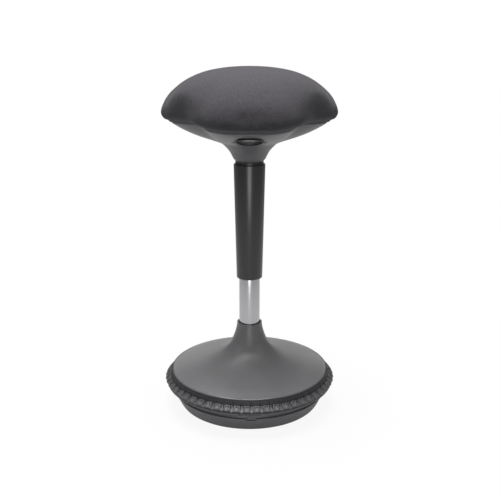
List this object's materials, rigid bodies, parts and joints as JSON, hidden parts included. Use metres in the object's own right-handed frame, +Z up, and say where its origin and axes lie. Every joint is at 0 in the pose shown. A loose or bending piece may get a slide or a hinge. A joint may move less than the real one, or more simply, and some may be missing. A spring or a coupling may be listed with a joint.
{
  "type": "wobble stool",
  "caption": "Height-adjustable active sitting stool: padded three-lobed swivel seat with a release paddle, on a gas-lift column and a weighted domed base with a ribbed foot ring.",
  "frame": {"origin": "on the floor, at the centre of the flat middle of the rubber pad under the base", "axes": "+Z up along the column, -Y towards the front lobe of the seat with the release paddle, +X to the right of someone who faces +Y"},
  "size_m": [0.388, 0.3913, 0.7684],
  "materials": {
    "casing_plastic": "satin grey moulded casing",
    "bowl_plastic": "dark grey moulded casing",
    "pan_plastic": "satin dark grey",
    "sleeve_plastic": "satin near-black",
    "black_plastic": "black acetal",
    "tread_rubber": "dark grey, moulded blocks",
    "pad_rubber": "black, fine texture",
    "satin_steel": "satin, brushed along the tube",
    "chrome_steel": "polished",
    "zinc_steel": "zinc plated",
    "cast_iron": "as cast, black",
    "plywood": "birch plywood, unfinished",
    "foam": "moulded polyurethane foam",
    "seat_fabric": "fine woven upholstery fabric, dark grey"
  },
  "bodies": {
    "base": {"base_pad": "pad_rubber", "base_bowl": "bowl_plastic", "base_shell": "casing_plastic", "grip_ring": "tread_rubber", "casing_screw_1": "zinc_steel", "casing_screw_2": "zinc_steel", "casing_screw_3": "zinc_steel", "casing_screw_4": "zinc_steel", "casing_screw_5": "zinc_steel", "casing_screw_6": "zinc_steel", "ballast_plate": "cast_iron", "column_socket": "zinc_steel", "hub_bolt_1": "zinc_steel", "hub_bolt_2": "zinc_steel", "hub_bolt_3": "zinc_steel", "hub_bolt_4": "zinc_steel", "column_tube": "satin_steel", "guide_bush": "black_plastic", "column_seal": "pad_rubber", "lower_race": "chrome_steel", "ball_cage": "chrome_steel"},
    "rod": {"upper_race": "chrome_steel", "piston_rod": "chrome_steel", "piston_head": "black_plastic", "retaining_clip": "zinc_steel", "bump_stop": "pad_rubber"},
    "seat": {"gas_cylinder": "chrome_steel", "rod_gland": "black_plastic", "column_sleeve": "sleeve_plastic", "seat_shell": "pan_plastic", "neck_collar": "black_plastic", "pan_screw_1": "zinc_steel", "pan_screw_2": "zinc_steel", "pan_screw_3": "zinc_steel", "pan_screw_4": "zinc_steel", "pan_screw_5": "zinc_steel", "pan_screw_6": "zinc_steel", "lever_bracket": "zinc_steel", "lever_pin": "zinc_steel", "mechanism_plate": "zinc_steel", "cylinder_hub": "zinc_steel", "plate_bolt_1": "zinc_steel", "plate_bolt_2": "zinc_steel", "plate_bolt_3": "zinc_steel", "plate_bolt_4": "zinc_steel", "seat_board": "plywood", "threaded_insert_1": "zinc_steel", "threaded_insert_2": "zinc_steel", "threaded_insert_3": "zinc_steel", "threaded_insert_4": "zinc_steel", "seat_cover": "seat_fabric", "seat_foam": "foam"},
    "lever": {"release_lever": "pan_plastic"},
    "valve": {"valve_pin": "zinc_steel"}
  },
  "joints": [
    {"name": "seat_swivel", "type": "hinge", "parent": "base", "child": "rod", "pos_m": [0, 0, 0], "axis": [0, 0, 1], "continuous": true},
    {"name": "height_slide", "type": "slide", "parent": "rod", "child": "seat", "axis": [0, 0, 1], "range_m": [-0.105, 0.069]},
    {"name": "lever_press", "type": "hinge", "parent": "seat", "child": "lever", "pos_m": [0, -0.038, 0.616], "axis": [-1, 0, 0], "range_deg": [0, 8], "stiffness_Nm_per_rad": 1},
    {"name": "valve_press", "type": "slide", "parent": "seat", "child": "valve", "axis": [0, 0, -1], "range_m": [0, 0.0054]}
  ],
  "couplings": [
    {"joint": "valve_press", "follows": "lever_press", "m_per_rad": 0.038}
  ]
}
